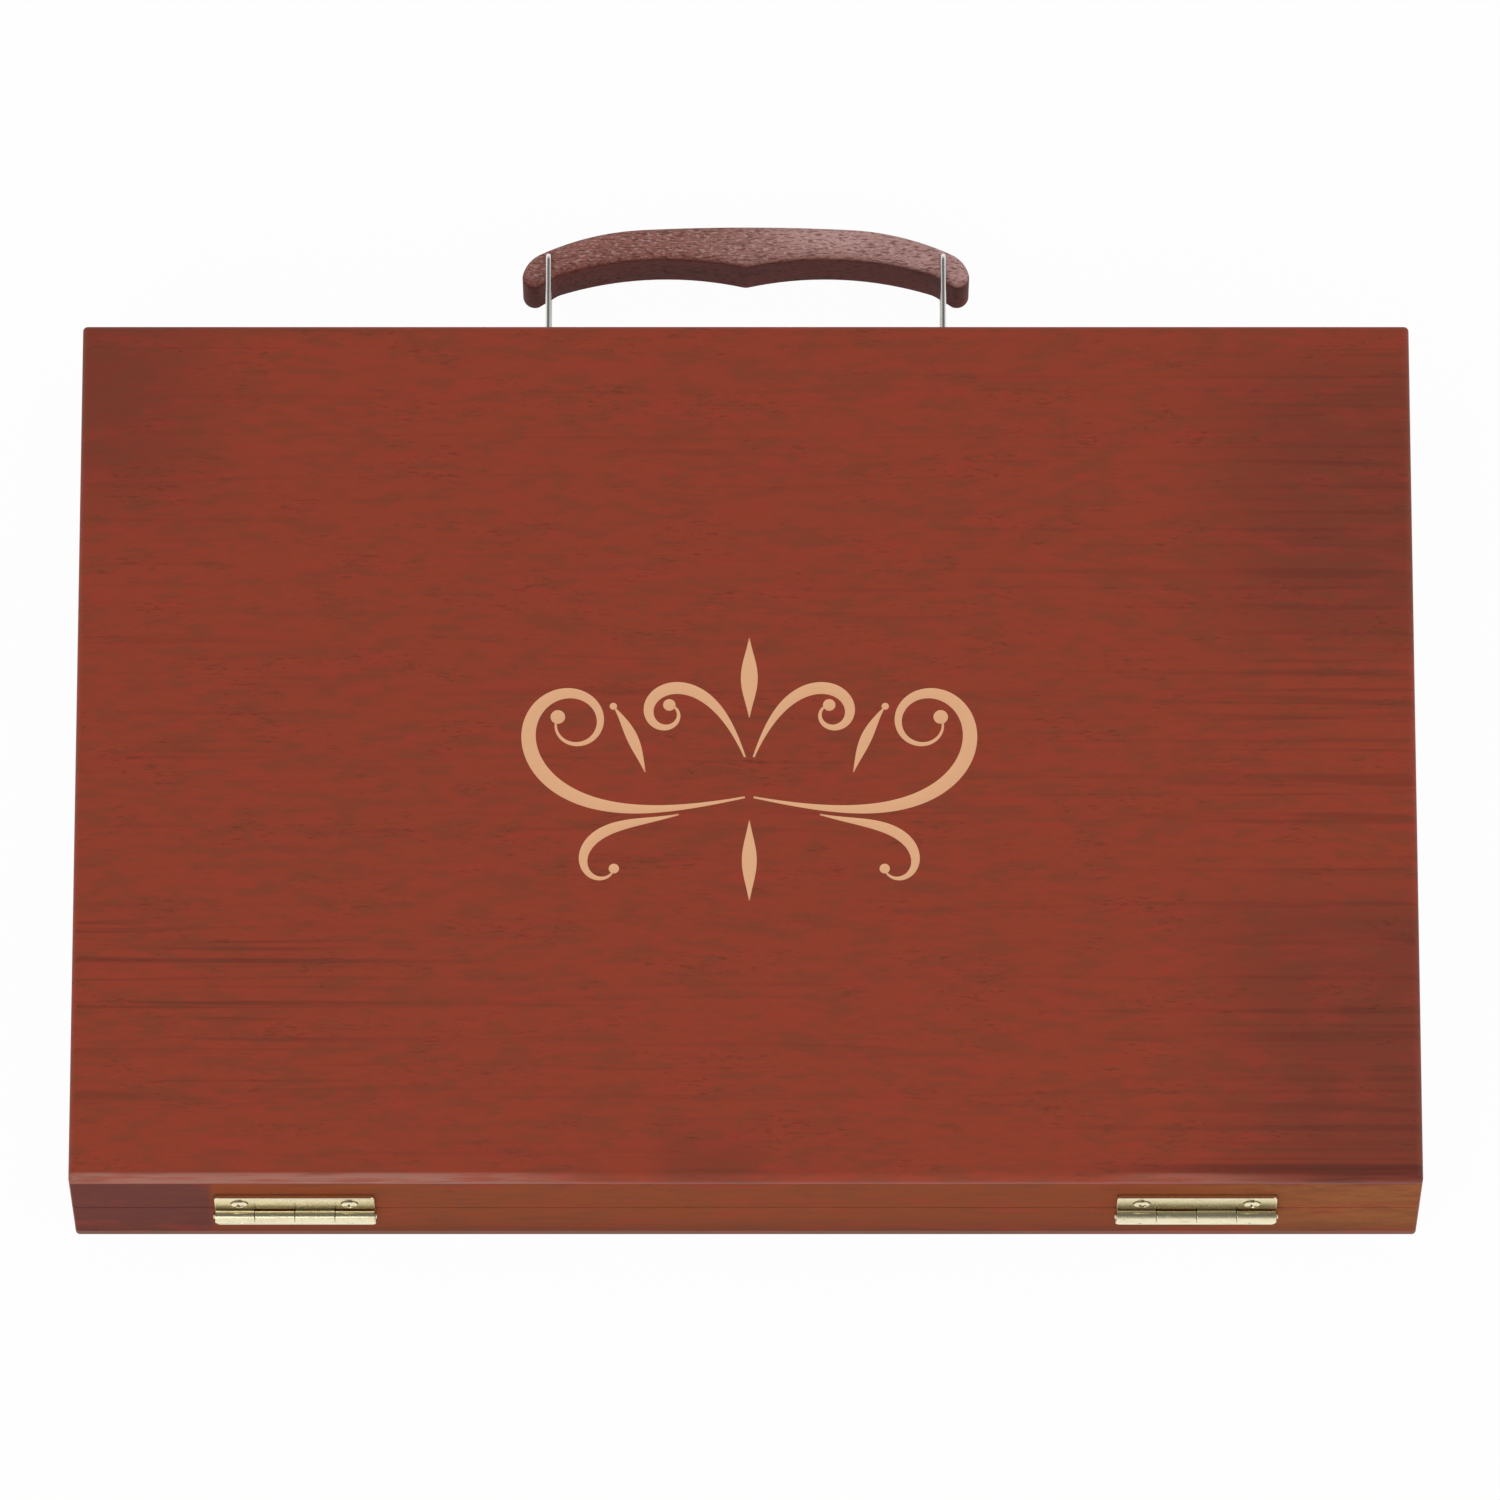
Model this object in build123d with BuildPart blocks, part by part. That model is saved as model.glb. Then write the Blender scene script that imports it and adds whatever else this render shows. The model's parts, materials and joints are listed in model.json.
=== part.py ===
"""Wooden art set case, in millimetres.

Two equal wooden halves are hinged along the back. A carved grip hangs on two wire bails on the
front, between two hasp latches, and each half holds a moulded tray for pencils and paints.

+Z is up and X runs along the case. The origin is the centre of the face the case rests on.
The hinges are on the -Y side, the back, and the grip and the latches on the +Y side, the front.
"""

import os
from math import cos, radians, sin

from build123d import *

os.makedirs("parts", exist_ok=True)

# The wooden halves
case_length = 380.0
case_depth = 258.0
case_height = 50.0
wall = 8.0
panel = 4.0
panel_round = 2.5
base_round = 1.0
corner_round = 1.2
seam_gap = 0.4

# Sheet metal and wood screws shared by the hinges, the bail clips and the latches
plate = 1.2
plate_corner = 1.2
screw_head_r = 2.45
screw_shank_r = 1.15
screw_reach = 6.8
screw_play = 0.1
countersink_play = 0.05

# Butt hinges
hinge_inset = 63.0
hinge_length = 45.0
hinge_reach = 11.8
hinge_knuckles = 4
knuckle_r = 2.1
knuckle_gap = 0.2
leaf_gap = 0.3
hinge_pin_r = 1.0
hinge_pin_end = 0.5
hinge_screw_spacing = 31.0
hinge_screw_rise = 7.2
pin_play = 0.06
wall_play = 0.25

# Carved grip, with its reaches measured out from the front wall
grip_length = 129.0
grip_thickness = 19.5
grip_height = 13.2
grip_crown = 41.8
grip_crown_drop = 0.8
grip_crown_flat = 60.0
grip_shoulder_reach = 33.3
grip_shoulder_inset = 5.0
grip_tip_reach = 27.0
grip_foot_reach = 23.0
grip_foot_inset = 4.6
grip_heel_reach = 26.6
grip_heel_inset = 10.2
grip_heel_round = 8.0
grip_scallop_reach = 31.6
grip_cusp_reach = 29.0
grip_cusp_round = 4.0
grip_edge_round = 2.6

# Wire bails and their clips
bail_spacing = 114.0
bail_wire_r = 0.8
bail_reach = 31.8
bail_bend = 2.0
bail_split = 0.6
bail_play = 0.1
clip_length = 22.0
clip_width = 8.0
clip_screw_spacing = 14.4

# Hasp latches, drawn swung out a little from the wall, free of the keeper
latch_inset = 65.0
latch_plate_length = 26.0
latch_plate_height = 10.8
latch_plate_rise = 9.2
latch_pivot_rise = 6.2
latch_knuckle_r = 1.8
latch_pin_r = 0.8
latch_middle_knuckle = 10.6
latch_open_angle = 16.0
latch_screw_spacing = 17.2
tongue_width = 15.0
tongue_length = 17.5
tongue_corner = 3.0
tongue_lip_r = 1.3
keeper_length = 24.0
keeper_height = 10.0
keeper_screw_spacing = 17.0
nib_width = 5.0
nib_height = 2.4
nib_reach = 3.6
nib_drop = 6.8
nib_round = 0.8
nib_play = 0.4

# Moulded trays
tray_skin = 1.2
tray_play = 0.3
tray_recess = 4.8
tray_margin = 9.0
tray_corner = 3.0
bay_gap = 10.0
bay_corner = 4.0
bay_draft = 3.0
notch_r = 7.0
notch_depth = 9.0
rib_foot = 4.0
rib_crest = 1.6
rib_height = 2.0
rib_end_gap = 3.0
pencil_bay_length = 178.0
front_bay_depth = 100.0
brush_bay_depth = 28.0
pencil_count = 12
crayon_count = 16
pastel_count = 12
pan_column_count = 6
pan_row_count = 2
lid_pencil_count = 22
pad_bay_length = 158.0

# Levels and faces worked out from the sizes above
seam_z = case_height / 2
front_y = case_depth / 2
back_y = -case_depth / 2
base_rim_z = seam_z - seam_gap / 2
lid_rim_z = seam_z + seam_gap / 2
wall_height = base_rim_z - panel
front_face = Plane(origin=(0, front_y, seam_z), x_dir=(-1, 0, 0), z_dir=(0, 1, 0))
back_face = Plane(origin=(0, back_y, seam_z), x_dir=(1, 0, 0), z_dir=(0, -1, 0))

hinge_offset = case_length / 2 - hinge_inset
latch_offset = case_length / 2 - latch_inset
hinge_axis_y = back_y - knuckle_r - wall_play
knuckle_length = (hinge_length - (hinge_knuckles - 1) * knuckle_gap) / hinge_knuckles
bail_axis_y = front_y + bail_wire_r + bail_play
grip_hole_y = front_y + bail_reach
bail_width = grip_thickness + 2 * bail_bend
clip_drop = grip_height - seam_z
latch_axis_y = front_y + latch_knuckle_r + wall_play
latch_axis_z = seam_z + latch_pivot_rise


def outside_spots(face, points, rise=0.0):
    """Places on an outside face, each with its axis pointing out of the case."""
    return [face.offset(rise).location * Location((x, z, 0)) for x, z in points]


def pair_points(centres, spacing, rise):
    """Two screw places side by side about each centre."""
    return [(c + side * spacing / 2, rise) for c in centres for side in (-1, 1)]


hinge_centres = (-hinge_offset, hinge_offset)
bail_centres = (-bail_spacing / 2, bail_spacing / 2)
latch_centres = (-latch_offset, latch_offset)
latch_plate_mid = latch_plate_rise + latch_plate_height / 2

lid_hinge_screws_at = pair_points(hinge_centres, hinge_screw_spacing, hinge_screw_rise)
base_hinge_screws_at = pair_points(hinge_centres, hinge_screw_spacing, -hinge_screw_rise)
clip_screws_at = pair_points(bail_centres, clip_screw_spacing, clip_drop)
latch_screws_at = pair_points(latch_centres, latch_screw_spacing, latch_plate_mid)
keeper_screws_at = pair_points(latch_centres, keeper_screw_spacing, -nib_drop)

pilot_r = screw_shank_r + screw_play
pilot_depth = screw_reach - plate + screw_play

# Outer panels, one closing each half, with the outside edges rounded over
with BuildPart() as base_panel:
    with BuildSketch():
        RectangleRounded(case_length, case_depth, corner_round)
    extrude(amount=panel)
    fillet(base_panel.faces().sort_by(Axis.Z)[0].edges(), base_round)
base_panel.part.label = "base_panel"
export_step(base_panel.part, "parts/base_panel.step")

with BuildPart() as lid_panel:
    with BuildSketch(Plane.XY.offset(case_height - panel)):
        RectangleRounded(case_length, case_depth, corner_round)
    extrude(amount=panel)
    fillet(lid_panel.faces().sort_by(Axis.Z)[-1].edges(), panel_round)
lid_panel.part.label = "lid_panel"
export_step(lid_panel.part, "parts/lid_panel.step")


def mitred_outline(side):
    """Corners of one wall's plan, cut at 45 degrees where it meets its neighbours."""
    x, y = case_length / 2, case_depth / 2
    inner_x, inner_y = x - wall, y - wall
    outlines = {
        "front": [(-x, y), (x, y), (inner_x, inner_y), (-inner_x, inner_y)],
        "back": [(-x, -y), (x, -y), (inner_x, -inner_y), (-inner_x, -inner_y)],
        "left": [(-x, -y), (-x, y), (-inner_x, inner_y), (-inner_x, -inner_y)],
        "right": [(x, -y), (x, y), (inner_x, inner_y), (inner_x, -inner_y)],
    }
    return outlines[side]


# Four mitred walls in each half, with pilot holes where the hardware is screwed on
pilot_spots = {
    ("base", "back"): outside_spots(back_face, base_hinge_screws_at),
    ("base", "front"): outside_spots(front_face, clip_screws_at + keeper_screws_at),
    ("lid", "back"): outside_spots(back_face, lid_hinge_screws_at),
    ("lid", "front"): outside_spots(front_face, latch_screws_at),
}
for half, foot_z in (("base", panel), ("lid", lid_rim_z)):
    for side in ("front", "back", "left", "right"):
        with BuildPart() as case_wall:
            with BuildSketch(Plane.XY.offset(foot_z)):
                RectangleRounded(case_length, case_depth, corner_round)
                Rectangle(case_length - 2 * wall, case_depth - 2 * wall, mode=Mode.SUBTRACT)
                Polygon(*mitred_outline(side), align=None, mode=Mode.INTERSECT)
            extrude(amount=wall_height)
            if (half, side) in pilot_spots:
                with Locations(*pilot_spots[(half, side)]):
                    Hole(pilot_r, pilot_depth)
        case_wall.part.label = f"{half}_{side}_wall"
        export_step(case_wall.part, f"parts/{case_wall.part.label}.step")

# Butt hinges: a leaf screwed to each half, their knuckles taking turns along one pin
for name, centre in (("left", -hinge_offset), ("right", hinge_offset)):
    start_x = centre - hinge_length / 2
    for half, up, first in (("lid", 1, 0), ("base", -1, 1)):
        leaf_root = knuckle_r + leaf_gap
        leaf_rise = hinge_reach - leaf_root
        with BuildPart() as hinge_leaf:
            with BuildSketch(back_face):
                with Locations((centre, up * (leaf_root + leaf_rise / 2))):
                    RectangleRounded(hinge_length, leaf_rise, plate_corner)
                with Locations((centre, up * (leaf_root + leaf_rise / 4))):
                    Rectangle(hinge_length, leaf_rise / 2)
            extrude(amount=plate)
            for turn in range(first, hinge_knuckles, 2):
                knuckle_x = start_x + turn * (knuckle_length + knuckle_gap)
                with BuildSketch(Plane.YZ.offset(knuckle_x)):
                    with Locations((hinge_axis_y, seam_z)):
                        Circle(knuckle_r)
                    with Locations((back_y - plate / 2, seam_z + up * leaf_root / 2)):
                        Rectangle(plate, leaf_root)
                    with Locations((hinge_axis_y, seam_z)):
                        Circle(hinge_pin_r + pin_play, mode=Mode.SUBTRACT)
                extrude(amount=knuckle_length)
            spots = pair_points([centre], hinge_screw_spacing, up * hinge_screw_rise)
            with Locations(*outside_spots(back_face, spots, plate)):
                CounterSinkHole(pilot_r, screw_head_r + countersink_play, counter_sink_angle=90)
        hinge_leaf.part.label = f"{name}_hinge_{half}_leaf"
        export_step(hinge_leaf.part, f"parts/{hinge_leaf.part.label}.step")
    with BuildPart() as hinge_pin:
        with BuildSketch(Plane.YZ.offset(start_x - hinge_pin_end)):
            with Locations((hinge_axis_y, seam_z)):
                Circle(hinge_pin_r)
        extrude(amount=hinge_length + 2 * hinge_pin_end)
        chamfer(hinge_pin.edges().filter_by(GeomType.CIRCLE), hinge_pin_end * 0.5)
    hinge_pin.part.label = f"{name}_hinge_pin"
    export_step(hinge_pin.part, f"parts/{hinge_pin.part.label}.step")

# One countersunk wood screw, drawn head up with the top of the head at the origin
with BuildPart() as wood_screw:
    with BuildSketch(Plane.XZ):
        with BuildLine():
            Polyline(
                (0, 0),
                (screw_head_r, 0),
                (screw_shank_r, screw_shank_r - screw_head_r),
                (screw_shank_r, -screw_reach),
                (0, -screw_reach),
                close=True,
            )
        make_face()
    revolve(axis=Axis.Z)

for name, face, points in (
    ("lid_hinge_screws", back_face, lid_hinge_screws_at),
    ("base_hinge_screws", back_face, base_hinge_screws_at),
    ("bail_clip_screws", front_face, clip_screws_at),
    ("latch_plate_screws", front_face, latch_screws_at),
    ("latch_keeper_screws", front_face, keeper_screws_at),
):
    with BuildPart() as screw_group:
        with Locations(*outside_spots(face, points, plate)):
            add(wood_screw.part)
    screw_group.part.label = name
    export_step(screw_group.part, f"parts/{name}.step")

# The carved grip: an arched crown, drooping rounded tips, and two finger scallops with a cusp
# between them on the inside
half_flat = grip_crown_flat / 2
tip_x = grip_length / 2
grip_plane = Plane(origin=(0, front_y, grip_height - grip_thickness / 2))
with BuildPart() as grip:
    with BuildSketch(grip_plane) as grip_outline:
        with BuildLine():
            crown = TangentArc(
                (0, grip_crown),
                (half_flat, grip_crown - grip_crown_drop),
                tangent=(1, 0),
            )
            shoulder = TangentArc(
                crown @ 1,
                (tip_x - grip_shoulder_inset, grip_shoulder_reach),
                tangent=crown % 1,
            )
            tip = TangentArc(shoulder @ 1, (tip_x, grip_tip_reach), tangent=shoulder % 1)
            foot = TangentArc(
                tip @ 1,
                (tip_x - grip_foot_inset, grip_foot_reach),
                tangent=tip % 1,
            )
            heel = Line(foot @ 1, (tip_x - grip_heel_inset, grip_heel_reach))
            ThreePointArc(
                heel @ 1,
                ((tip_x - grip_heel_inset) / 2, grip_scallop_reach),
                (0, grip_cusp_reach),
            )
            mirror(about=Plane.YZ)
        make_face()
        cusp = grip_outline.vertices().sort_by_distance((0, grip_cusp_reach, 0))[0]
        fillet(cusp, grip_cusp_round)
        for heel_x in (grip_heel_inset - tip_x, tip_x - grip_heel_inset):
            corner = grip_outline.vertices().sort_by_distance((heel_x, grip_heel_reach, 0))[0]
            fillet(corner, grip_heel_round)
    extrude(amount=grip_thickness)
    fillet(grip.faces().filter_by(Axis.Z).edges(), grip_edge_round)
    for x in bail_centres:
        with BuildSketch(Plane.XY.offset(grip_height - grip_thickness / 2)):
            with Locations((x, grip_hole_y)):
                Circle(bail_wire_r + bail_play)
        extrude(amount=grip_thickness, mode=Mode.SUBTRACT)
grip.part.label = "grip"
export_step(grip.part, "parts/grip.step")

# Wire bails: each a loop through the grip and under its clip, its two ends meeting in the clip
for name, centre in (("left", -bail_spacing / 2), ("right", bail_spacing / 2)):
    bottom_z = grip_height - bail_width / 2
    top_z = grip_height + bail_width / 2
    with BuildPart() as bail:
        with BuildLine() as bail_path:
            FilletPolyline(
                (centre, bail_axis_y, grip_height - bail_split / 2),
                (centre, bail_axis_y, bottom_z),
                (centre, grip_hole_y, bottom_z),
                (centre, grip_hole_y, top_z),
                (centre, bail_axis_y, top_z),
                (centre, bail_axis_y, grip_height + bail_split / 2),
                radius=bail_bend,
            )
        with BuildSketch(Plane(origin=bail_path.line @ 0, z_dir=bail_path.line % 0)):
            Circle(bail_wire_r)
        sweep()
    bail.part.label = f"{name}_bail"
    export_step(bail.part, f"parts/{bail.part.label}.step")

    # The clip that saddles the bail against the front wall
    with BuildPart() as bail_clip:
        with BuildSketch(Plane.XY.offset(grip_height - clip_width / 2)):
            saddle_r = bail_wire_r + bail_play + plate
            with Locations((centre, front_y + plate / 2)):
                Rectangle(clip_length, plate)
            with Locations((centre, bail_axis_y)):
                Circle(saddle_r)
            with Locations((centre, (front_y + bail_axis_y) / 2)):
                Rectangle(2 * saddle_r, bail_axis_y - front_y)
            with Locations((centre, bail_axis_y)):
                Circle(bail_wire_r + bail_play, mode=Mode.SUBTRACT)
            with Locations((centre, (front_y + bail_axis_y) / 2)):
                Rectangle(2 * (bail_wire_r + bail_play), bail_axis_y - front_y, mode=Mode.SUBTRACT)
            below_wall = saddle_r
            with Locations((centre, front_y - below_wall / 2)):
                Rectangle(clip_length, below_wall, mode=Mode.SUBTRACT)
        extrude(amount=clip_width)
        fillet(bail_clip.edges().filter_by(Axis.Y).group_by(Axis.X)[0], clip_width / 4)
        fillet(bail_clip.edges().filter_by(Axis.Y).group_by(Axis.X)[-1], clip_width / 4)
        clip_spots = pair_points([-centre], clip_screw_spacing, clip_drop)
        with Locations(*outside_spots(front_face, clip_spots, plate)):
            CounterSinkHole(pilot_r, screw_head_r + countersink_play, counter_sink_angle=90)
    bail_clip.part.label = f"{name}_bail_clip"
    export_step(bail_clip.part, f"parts/{bail_clip.part.label}.step")

# Hasp latches: a plate and pin on the lid, a slotted tongue, and a keeper with a nib on the base
outer_knuckle = (latch_plate_length - latch_middle_knuckle) / 2 - knuckle_gap
tilt = radians(latch_open_angle)
tongue_back = -plate / 2
slot_centre = -latch_pivot_rise - nib_drop
for name, centre in (("left", -latch_offset), ("right", latch_offset)):
    pivot = (latch_axis_y, latch_axis_z)
    with BuildPart() as latch_plate:
        with BuildSketch(front_face):
            with Locations((-centre, latch_plate_mid)):
                RectangleRounded(latch_plate_length, latch_plate_height, plate_corner)
        extrude(amount=plate)
        for knuckle_x in (
            centre - latch_plate_length / 2,
            centre + latch_plate_length / 2 - outer_knuckle,
        ):
            with BuildSketch(Plane.YZ.offset(knuckle_x)):
                with Locations(pivot):
                    Circle(latch_knuckle_r)
                web = latch_plate_mid - latch_pivot_rise
                with Locations((front_y + plate / 2, latch_axis_z + web / 2)):
                    Rectangle(plate, web)
                with Locations(pivot):
                    Circle(latch_pin_r + pin_play, mode=Mode.SUBTRACT)
            extrude(amount=outer_knuckle)
        spots = pair_points([-centre], latch_screw_spacing, latch_plate_mid)
        with Locations(*outside_spots(front_face, spots, plate)):
            CounterSinkHole(pilot_r, screw_head_r + countersink_play, counter_sink_angle=90)
    latch_plate.part.label = f"{name}_latch_plate"
    export_step(latch_plate.part, f"parts/{latch_plate.part.label}.step")

    with BuildPart() as latch_pin:
        with BuildSketch(Plane.YZ.offset(centre - latch_plate_length / 2)):
            with Locations(pivot):
                Circle(latch_pin_r)
        extrude(amount=latch_plate_length)
    latch_pin.part.label = f"{name}_latch_pin"
    export_step(latch_pin.part, f"parts/{latch_pin.part.label}.step")

    # The tongue stands on a plane that turns about the pin
    tongue_face = Plane(
        origin=(centre, latch_axis_y, latch_axis_z),
        x_dir=(-1, 0, 0),
        z_dir=(0, cos(tilt), sin(tilt)),
    )
    blade_top = -latch_knuckle_r - leaf_gap
    blade_length = tongue_length + blade_top
    with BuildPart() as latch_tongue:
        with BuildSketch(tongue_face.offset(tongue_back)):
            with Locations((0, blade_top - blade_length / 2)):
                RectangleRounded(tongue_width, blade_length, tongue_corner)
            with Locations((0, blade_top)):
                Rectangle(latch_middle_knuckle, -2 * blade_top)
            with Locations((0, slot_centre)):
                Rectangle(nib_width + 2 * nib_play, nib_height + 2 * nib_play, mode=Mode.SUBTRACT)
        extrude(amount=plate)
        with BuildSketch(Plane.YZ.offset(centre - latch_middle_knuckle / 2)):
            with Locations(pivot):
                Circle(latch_knuckle_r)
        extrude(amount=latch_middle_knuckle)
        lip_place = Location((0, -tongue_length + tongue_lip_r / 2, tongue_lip_r / 2))
        with Locations(tongue_face.location * lip_place):
            Cylinder(tongue_lip_r, tongue_width - 2 * tongue_corner, rotation=(0, 90, 0))
        with BuildSketch(Plane.YZ.offset(centre - latch_middle_knuckle / 2)):
            with Locations(pivot):
                Circle(latch_pin_r + pin_play)
        extrude(amount=latch_middle_knuckle, mode=Mode.SUBTRACT)
    latch_tongue.part.label = f"{name}_latch_tongue"
    export_step(latch_tongue.part, f"parts/{latch_tongue.part.label}.step")

    with BuildPart() as latch_keeper:
        with BuildSketch(front_face):
            with Locations((-centre, -nib_drop)):
                RectangleRounded(keeper_length, keeper_height, plate_corner)
        extrude(amount=plate)
        with BuildSketch(front_face):
            with Locations((-centre, -nib_drop)):
                Rectangle(nib_width, nib_height)
        extrude(amount=nib_reach)
        fillet(latch_keeper.faces().sort_by(Axis.Y)[-1].edges().filter_by(Axis.X), nib_round)
        spots = pair_points([-centre], keeper_screw_spacing, -nib_drop)
        with Locations(*outside_spots(front_face, spots, plate)):
            CounterSinkHole(pilot_r, screw_head_r + countersink_play, counter_sink_angle=90)
    latch_keeper.part.label = f"{name}_latch_keeper"
    export_step(latch_keeper.part, f"parts/{latch_keeper.part.label}.step")


# Moulded trays. Each bay is (centre x, centre y, length, depth, ribs across x, ribs across y)
inner_length = case_length - 2 * wall
inner_depth = case_depth - 2 * wall
tray_length = inner_length - 2 * tray_play
tray_depth = inner_depth - 2 * tray_play
left_x = -inner_length / 2 + tray_margin
right_x = inner_length / 2 - tray_margin
low_y = -inner_depth / 2 + tray_margin
high_y = inner_depth / 2 - tray_margin
split_x = left_x + pencil_bay_length + bay_gap / 2
right_length = right_x - split_x - bay_gap / 2
middle_depth = high_y - low_y - front_bay_depth - brush_bay_depth - 2 * bay_gap
front_mid_y = high_y - front_bay_depth / 2
middle_mid_y = low_y + brush_bay_depth + bay_gap + middle_depth / 2
left_mid_x = left_x + pencil_bay_length / 2
right_mid_x = right_x - right_length / 2

base_bays = [
    (left_mid_x, front_mid_y, pencil_bay_length, front_bay_depth, 0, pencil_count - 1),
    (right_mid_x, front_mid_y, right_length, front_bay_depth, crayon_count - 1, 0),
    (right_mid_x, middle_mid_y, right_length, middle_depth, pastel_count - 1, 0),
    (left_mid_x, middle_mid_y, pencil_bay_length, middle_depth, pan_column_count - 1, pan_row_count - 1),
    (0, low_y + brush_bay_depth / 2, right_x - left_x, brush_bay_depth, 2, 0),
]
lid_bay_depth = high_y - low_y
lid_pencil_length = right_x - left_x - pad_bay_length - bay_gap
lid_bays = [
    (left_x + pad_bay_length / 2, 0, pad_bay_length, lid_bay_depth, 0, 0),
    (
        right_x - lid_pencil_length / 2,
        0,
        lid_pencil_length,
        lid_bay_depth,
        0,
        lid_pencil_count - 1,
    ),
]
tray_sink = base_rim_z - tray_recess - panel


def rib_places(span, count):
    """Evenly spaced places for count ribs inside a span."""
    return [span * (i + 1) / (count + 1) - span / 2 for i in range(count)]


def notch_places(bays):
    """Middles of the finger notches, one on the front side of each bay."""
    return [(x, y + depth / 2) for x, y, length, depth, _, _ in bays]


def rib_section(middle, level, up):
    """Corners of one rib's section, rooted in the floor and narrowing to its crest."""
    root = level - up * tray_skin / 2
    crest = level + up * rib_height
    return [
        (middle - rib_foot / 2, root),
        (middle + rib_foot / 2, root),
        (middle + rib_crest / 2, crest),
        (middle - rib_crest / 2, crest),
    ]


for name, bays, face_z, sink in (
    ("base_tray", base_bays, base_rim_z - tray_recess, -1),
    ("lid_tray", lid_bays, lid_rim_z + tray_recess, 1),
):
    top = Plane.XY.offset(face_z)
    floor_z = face_z + sink * (tray_sink - tray_skin)
    with BuildPart() as tray:
        with BuildSketch(top):
            RectangleRounded(tray_length, tray_depth, tray_corner)
        extrude(amount=sink * tray_skin)
        for x, y, length, depth, _, _ in bays:
            with BuildSketch(top):
                with Locations((x, y)):
                    RectangleRounded(
                        length + 2 * tray_skin,
                        depth + 2 * tray_skin,
                        bay_corner + tray_skin,
                    )
            extrude(amount=sink * tray_sink, taper=bay_draft)
        with BuildSketch(top):
            with Locations(*notch_places(bays)):
                Circle(notch_r + tray_skin)
        extrude(amount=sink * (notch_depth + tray_skin), taper=bay_draft)
        for x, y, length, depth, _, _ in bays:
            with BuildSketch(top):
                with Locations((x, y)):
                    RectangleRounded(length, depth, bay_corner)
            extrude(amount=sink * (tray_sink - tray_skin), taper=bay_draft, mode=Mode.SUBTRACT)
        with BuildSketch(top):
            with Locations(*notch_places(bays)):
                Circle(notch_r)
        extrude(amount=sink * notch_depth, taper=bay_draft, mode=Mode.SUBTRACT)
        for x, y, length, depth, across_x, across_y in bays:
            ends = 2 * ((tray_sink - tray_skin) * sin(radians(bay_draft)) + rib_end_gap)
            for rib_x in rib_places(length, across_x):
                with BuildSketch(Plane.XZ.offset(-y - (depth - ends) / 2)):
                    Polygon(*rib_section(x + rib_x, floor_z, -sink), align=None)
                extrude(amount=depth - ends)
            for rib_y in rib_places(depth, across_y):
                with BuildSketch(Plane.YZ.offset(x - (length - ends) / 2)):
                    Polygon(*rib_section(y + rib_y, floor_z, -sink), align=None)
                extrude(amount=length - ends)
    tray.part.label = name
    export_step(tray.part, f"parts/{name}.step")
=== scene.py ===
"""Looks of the wooden art set case.

The case lies flat on its base panel and is seen from above its hinge side. Red-brown stained wood
under a satin lacquer, a carved grip on two wire bails, brass hinges and latches, and flocked trays.

Blender's lengths are in metres, and MM turns a length in millimetres into metres. The finishes
and the flourish are laid out in millimetres.
"""

import json
import random
from math import cos, pi, radians, sin

import bpy
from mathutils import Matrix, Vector

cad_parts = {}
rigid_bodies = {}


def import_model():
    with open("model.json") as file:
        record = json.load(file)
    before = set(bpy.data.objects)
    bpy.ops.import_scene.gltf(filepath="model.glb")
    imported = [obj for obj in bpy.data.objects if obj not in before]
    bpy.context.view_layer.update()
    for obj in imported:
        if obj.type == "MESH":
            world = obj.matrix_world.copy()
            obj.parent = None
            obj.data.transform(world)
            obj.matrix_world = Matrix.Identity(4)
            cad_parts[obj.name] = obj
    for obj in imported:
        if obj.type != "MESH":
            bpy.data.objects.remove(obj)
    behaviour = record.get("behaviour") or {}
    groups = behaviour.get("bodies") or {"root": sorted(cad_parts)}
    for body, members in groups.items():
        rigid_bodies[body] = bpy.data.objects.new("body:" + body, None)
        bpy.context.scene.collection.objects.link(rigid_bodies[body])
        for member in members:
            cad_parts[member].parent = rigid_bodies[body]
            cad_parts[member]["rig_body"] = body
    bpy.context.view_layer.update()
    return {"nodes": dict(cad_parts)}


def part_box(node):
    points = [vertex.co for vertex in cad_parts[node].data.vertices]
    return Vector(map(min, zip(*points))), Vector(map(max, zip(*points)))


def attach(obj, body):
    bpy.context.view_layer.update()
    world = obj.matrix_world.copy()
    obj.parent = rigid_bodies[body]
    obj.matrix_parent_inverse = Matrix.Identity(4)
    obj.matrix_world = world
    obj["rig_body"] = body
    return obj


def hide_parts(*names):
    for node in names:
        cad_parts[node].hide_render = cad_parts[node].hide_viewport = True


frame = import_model()

MM = 0.001

# Places read from the frame, in millimetres
lid_low, lid_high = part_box("lid_panel")
half_depth = lid_high.y / MM
lid_face = lid_high.z / MM
grip_low, grip_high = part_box("grip")
grip_middle = (grip_low.z + grip_high.z) / 2 / MM
grip_half = (grip_high.z - grip_low.z) / 2 / MM

# The lid's back edge, in millimetres: its rounding, how high up its band of wear and painted sheen
# starts and is full, and how far in from the back the painted shade line lies
rounding = 2.5
wear_and_sheen_starts = lid_face - 3.6
wear_and_sheen_full = lid_face - 2.6
shade_line_in = 3.2

# The flourish cut into the lid, in millimetres: its middle, its reach, the depths between which
# wood counts as bared, and how deep its gouge goes for its width
flourish_at = (1.0, -5.0)
flourish_half_length = 70.0
flourish_half_height = 45.0
bared_deepest = 1.5
bared_shallowest = 0.02
gouge_share = 0.12

# How the pieces are finished
weld_distance = 0.002 * MM
wood_arris = 0.35 * MM
panel_arris = 0.2 * MM
metal_arris = 0.18 * MM
smooth_angle = radians(38)
# How far ambient occlusion looks for the corners that get painted shade and grime
shade_and_grime_reach = 0.9 * MM


def take(piece):
    """Leaves one piece selected and active."""
    bpy.ops.object.select_all(action="DESELECT")
    piece.select_set(True)
    bpy.context.view_layer.objects.active = piece


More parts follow.
